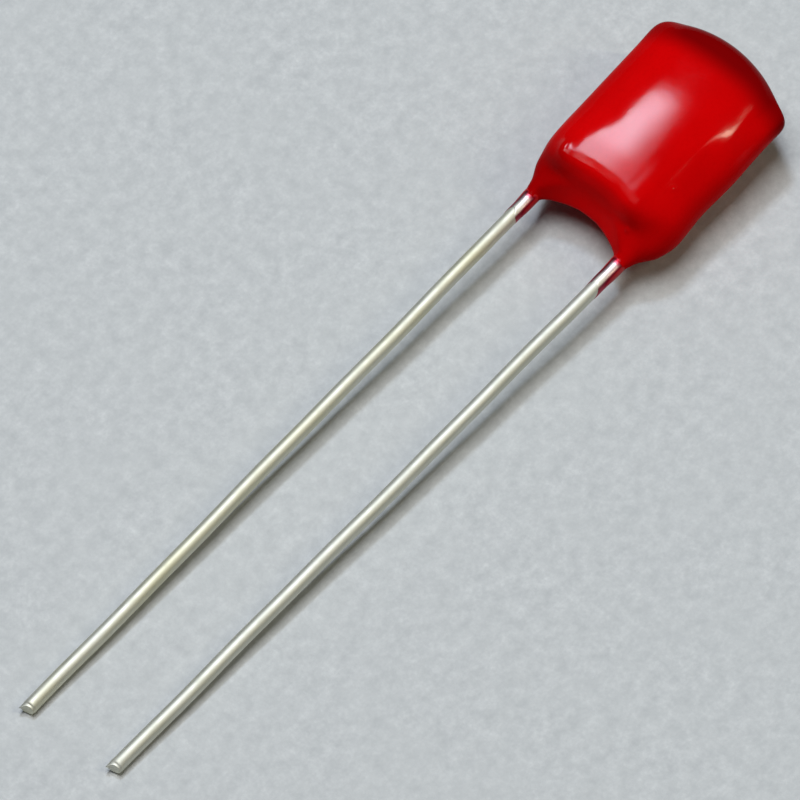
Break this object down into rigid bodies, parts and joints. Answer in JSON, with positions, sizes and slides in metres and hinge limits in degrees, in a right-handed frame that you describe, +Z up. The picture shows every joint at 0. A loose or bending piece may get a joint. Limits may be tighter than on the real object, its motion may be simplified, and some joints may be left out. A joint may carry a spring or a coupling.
{
  "type": "polypropylene film capacitor",
  "caption": "Small capacitor dipped in glossy red resin, flat with rounded sides and a domed end, with long parallel wire leads, lying on its side.",
  "frame": {"origin": "centre of the footprint, on the surface that the part lies on", "axes": "+X along the leads towards the dipped body, +Y towards lead_left, +Z up"},
  "size_m": [0.032, 0.0054, 0.0037],
  "materials": {
    "epoxy": "glossy red dipped epoxy",
    "film": "clear polypropylene film",
    "foil": "bare foil",
    "tinned_wire": "tinned, satin"
  },
  "bodies": {
    "root": {"epoxy_coating": "epoxy", "film_winding": "film", "electrode_foil_left": "foil", "electrode_foil_right": "foil", "lead_left": "tinned_wire", "lead_right": "tinned_wire"}
  },
  "joints": []
}
